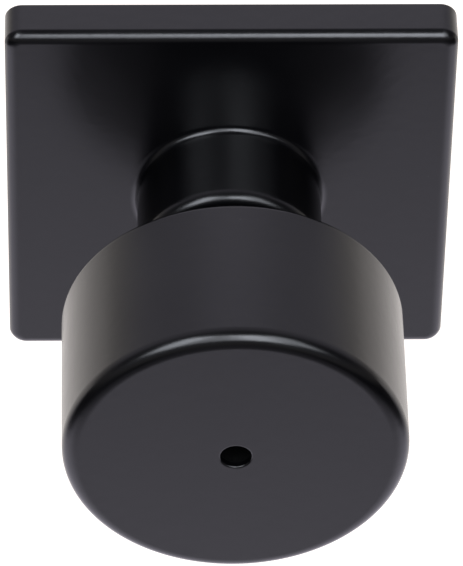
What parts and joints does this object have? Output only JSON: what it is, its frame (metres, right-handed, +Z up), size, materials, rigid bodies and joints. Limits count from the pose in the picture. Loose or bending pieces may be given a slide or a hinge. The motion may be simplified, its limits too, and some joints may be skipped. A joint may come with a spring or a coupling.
{
  "type": "door knob",
  "caption": "Outside half of a privacy door knob: a drum knob with a release hole in its face, on a square rose with a raised round collar, sprung to return to level.",
  "frame": {"origin": "on the spindle's axis, in the plane of the door's face, which the rose's back lies on", "axes": "+Z up, +Y from the knob into the door along the spindle, +X to the right of a person who faces the knob"},
  "size_m": [0.0666, 0.0896, 0.0666],
  "materials": {
    "satin_black": "satin black powder coat",
    "zinc_plate": "bright zinc plate on pressed steel",
    "bright_steel": "ground steel",
    "spring_steel": "oiled spring steel",
    "cast_zinc": "as-cast zinc alloy, dull",
    "bronze": "sintered bronze",
    "black_plastic": "moulded black plastic"
  },
  "bodies": {
    "rose": {"rose_cover": "satin_black", "mounting_plate": "zinc_plate", "bearing_tube": "zinc_plate", "front_bushing": "bronze", "rear_bushing": "bronze", "spring_case": "zinc_plate", "thrust_washer": "bronze", "wave_washer": "spring_steel", "return_spring": "spring_steel", "case_screw_top": "zinc_plate", "case_screw_bottom": "zinc_plate", "mounting_post_left": "zinc_plate", "mounting_post_right": "zinc_plate", "stop_pin_left": "bright_steel", "stop_pin_right": "bright_steel", "cover_clip_left": "spring_steel", "cover_clip_right": "spring_steel", "clip_rivet_left": "bright_steel", "clip_rivet_right": "bright_steel"},
    "knob": {"knob_shell": "satin_black", "knob_back": "satin_black", "knob_core": "cast_zinc", "knob_neck": "satin_black", "core_pin_right": "bright_steel", "core_pin_left": "bright_steel", "drive_cam": "zinc_plate", "retaining_ring": "spring_steel", "spindle_socket": "zinc_plate", "spindle": "zinc_plate", "spindle_pin": "bright_steel", "release_guide": "black_plastic", "release_spring": "spring_steel"},
    "release": {"release_rod": "bright_steel", "release_head": "black_plastic", "release_stop": "spring_steel"}
  },
  "joints": [
    {"name": "knob_turn", "type": "hinge", "parent": "rose", "child": "knob", "pos_m": [0, 0, 0], "axis": [0, 1, 0], "range_deg": [-60, 60], "stiffness_Nm_per_rad": 0.4, "deforming": ["return_spring"]},
    {"name": "release_push", "type": "slide", "parent": "knob", "child": "release", "axis": [0, 1, 0], "range_m": [0, 0.005], "stiffness_N_per_m": 300, "deforming": ["release_spring"]}
  ]
}
